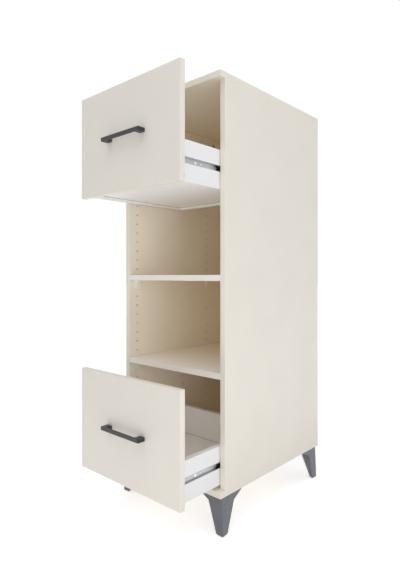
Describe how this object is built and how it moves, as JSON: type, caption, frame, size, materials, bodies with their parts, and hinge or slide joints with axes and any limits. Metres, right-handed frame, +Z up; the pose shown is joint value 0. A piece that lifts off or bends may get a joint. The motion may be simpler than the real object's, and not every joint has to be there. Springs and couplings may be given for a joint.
{
  "type": "cupboard",
  "caption": "Tall narrow cupboard on splayed faceted legs, a deep drawer above and below an open niche with adjustable shelves, bow handles, drawers on ball slides.",
  "frame": {"origin": "centre of the bounding box's base, on the floor", "axes": "+Z up, -Y out of the front where the drawers open, +X to the right as one faces the front"},
  "size_m": [0.45, 0.762, 1.343],
  "materials": {
    "carcass_board": "matt melamine face",
    "back_board": "matt printed fibreboard",
    "front_board": "matt melamine face",
    "drawer_board": "matt white melamine face",
    "drawer_bottom_board": "matt white fibreboard",
    "leg_plastic": "matt anthracite",
    "glide_plastic": "matt black",
    "handle_metal": "matt anthracite powder coat",
    "support_plastic": "matt moulded",
    "zinc_steel": "zinc plated",
    "screw_steel": "zinc plated",
    "cam_zinc": "die-cast",
    "cage_plastic": "moulded black",
    "bearing_steel": "polished",
    "dowel_beech": "fluted, raw",
    "bumper_rubber": "clear"
  },
  "bodies": {
    "carcass": {"back_panel": "back_board", "bottom_board": "carcass_board", "cabinet_rail_screws": "screw_steel", "carcass_cam_bolts": "screw_steel", "carcass_cam_locks": "cam_zinc", "carcass_dowels": "dowel_beech", "leg_front_left": "leg_plastic", "leg_front_right": "leg_plastic", "leg_glides": "glide_plastic", "leg_rear_left": "leg_plastic", "leg_rear_right": "leg_plastic", "leg_screws": "screw_steel", "lower_cabinet_rail_left": "zinc_steel", "lower_cabinet_rail_right": "zinc_steel", "lower_shelf": "carcass_board", "lower_shelf_supports": "support_plastic", "side_panel_left": "carcass_board", "side_panel_right": "carcass_board", "top_board": "carcass_board", "upper_cabinet_rail_left": "zinc_steel", "upper_cabinet_rail_right": "zinc_steel", "upper_shelf": "carcass_board", "upper_shelf_supports": "support_plastic"},
    "upper_drawer": {"upper_drawer_back": "drawer_board", "upper_drawer_back_screws": "screw_steel", "upper_drawer_bottom": "drawer_bottom_board", "upper_drawer_bumpers": "bumper_rubber", "upper_drawer_cam_bolts": "screw_steel", "upper_drawer_cam_locks": "cam_zinc", "upper_drawer_dowels": "dowel_beech", "upper_drawer_front": "front_board", "upper_drawer_handle": "handle_metal", "upper_drawer_handle_screws": "screw_steel", "upper_drawer_runner_left": "zinc_steel", "upper_drawer_runner_right": "zinc_steel", "upper_drawer_runner_screws": "screw_steel", "upper_drawer_side_left": "drawer_board", "upper_drawer_side_right": "drawer_board"},
    "upper_ball_cages": {"upper_ball_cages": "cage_plastic", "upper_bearing_balls": "bearing_steel"},
    "lower_drawer": {"lower_drawer_back": "drawer_board", "lower_drawer_back_screws": "screw_steel", "lower_drawer_bottom": "drawer_bottom_board", "lower_drawer_bumpers": "bumper_rubber", "lower_drawer_cam_bolts": "screw_steel", "lower_drawer_cam_locks": "cam_zinc", "lower_drawer_dowels": "dowel_beech", "lower_drawer_front": "front_board", "lower_drawer_handle": "handle_metal", "lower_drawer_handle_screws": "screw_steel", "lower_drawer_runner_left": "zinc_steel", "lower_drawer_runner_right": "zinc_steel", "lower_drawer_runner_screws": "screw_steel", "lower_drawer_side_left": "drawer_board", "lower_drawer_side_right": "drawer_board"},
    "lower_ball_cages": {"lower_ball_cages": "cage_plastic", "lower_bearing_balls": "bearing_steel"}
  },
  "joints": [
    {"name": "upper_drawer_slide", "type": "slide", "parent": "carcass", "child": "upper_drawer", "axis": [0, -1, 0], "range_m": [-0.163, 0.137]},
    {"name": "upper_cage_slide", "type": "slide", "parent": "carcass", "child": "upper_ball_cages", "axis": [0, -1, 0], "range_m": [-0.0815, 0.0685]},
    {"name": "lower_drawer_slide", "type": "slide", "parent": "carcass", "child": "lower_drawer", "axis": [0, -1, 0], "range_m": [-0.163, 0.137]},
    {"name": "lower_cage_slide", "type": "slide", "parent": "carcass", "child": "lower_ball_cages", "axis": [0, -1, 0], "range_m": [-0.0815, 0.0685]}
  ],
  "couplings": [
    {"joint": "upper_cage_slide", "follows": "upper_drawer_slide", "ratio": 0.5},
    {"joint": "lower_cage_slide", "follows": "lower_drawer_slide", "ratio": 0.5}
  ]
}
